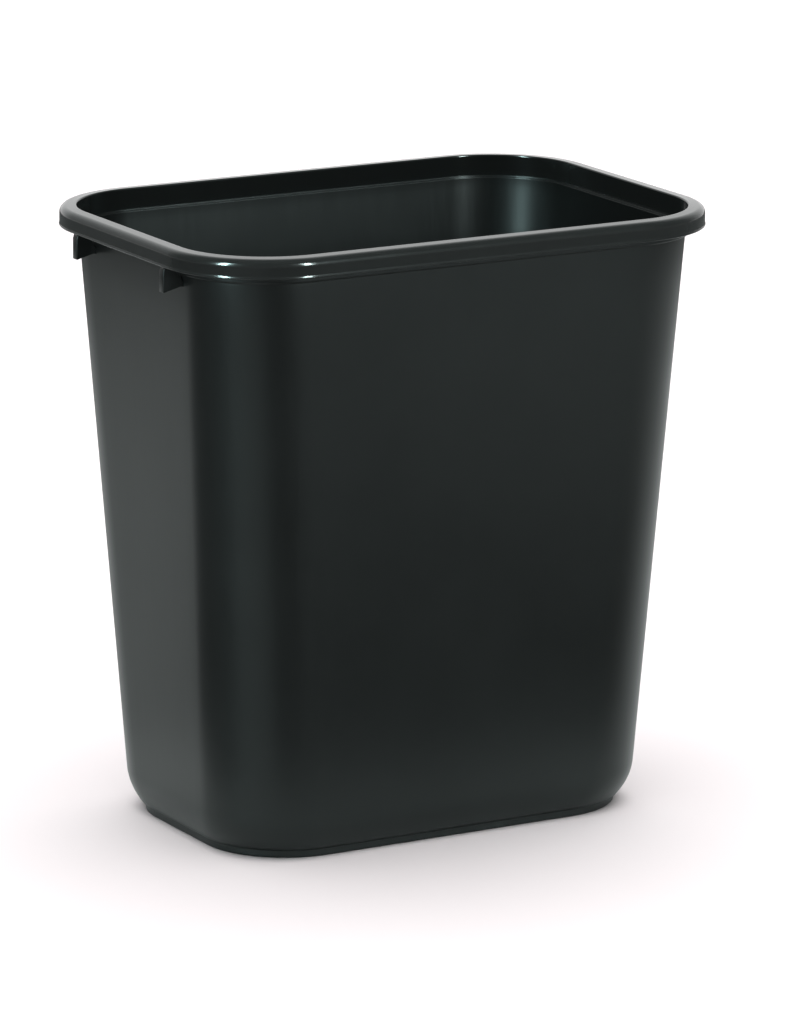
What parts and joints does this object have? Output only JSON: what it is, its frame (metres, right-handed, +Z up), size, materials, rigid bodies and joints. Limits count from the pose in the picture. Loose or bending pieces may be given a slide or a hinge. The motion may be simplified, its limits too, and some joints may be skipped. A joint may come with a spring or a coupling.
{
  "type": "wastebasket",
  "caption": "Tall rectangular open-top wastebasket with tapered walls, round corners, a rolled rim, rib lugs under the rim at both ends and a shallow foot ring.",
  "frame": {"origin": "middle of the base, at the level that the foot ring stands on", "axes": "+Z up, X along the long side, Y across the short side"},
  "size_m": [0.3658, 0.2604, 0.381],
  "materials": {
    "tub_plastic": "near-black moulded plastic with a satin surface"
  },
  "bodies": {
    "root": {"rim_crown": "tub_plastic", "rim_skirt": "tub_plastic", "rim_collar": "tub_plastic", "wall_front": "tub_plastic", "wall_back": "tub_plastic", "wall_left": "tub_plastic", "wall_right": "tub_plastic", "corner_front_left": "tub_plastic", "corner_front_right": "tub_plastic", "corner_back_left": "tub_plastic", "corner_back_right": "tub_plastic", "floor_panel": "tub_plastic", "foot_ring": "tub_plastic", "lug_front_left": "tub_plastic", "lug_back_left": "tub_plastic", "lug_front_right": "tub_plastic", "lug_back_right": "tub_plastic"}
  },
  "joints": []
}
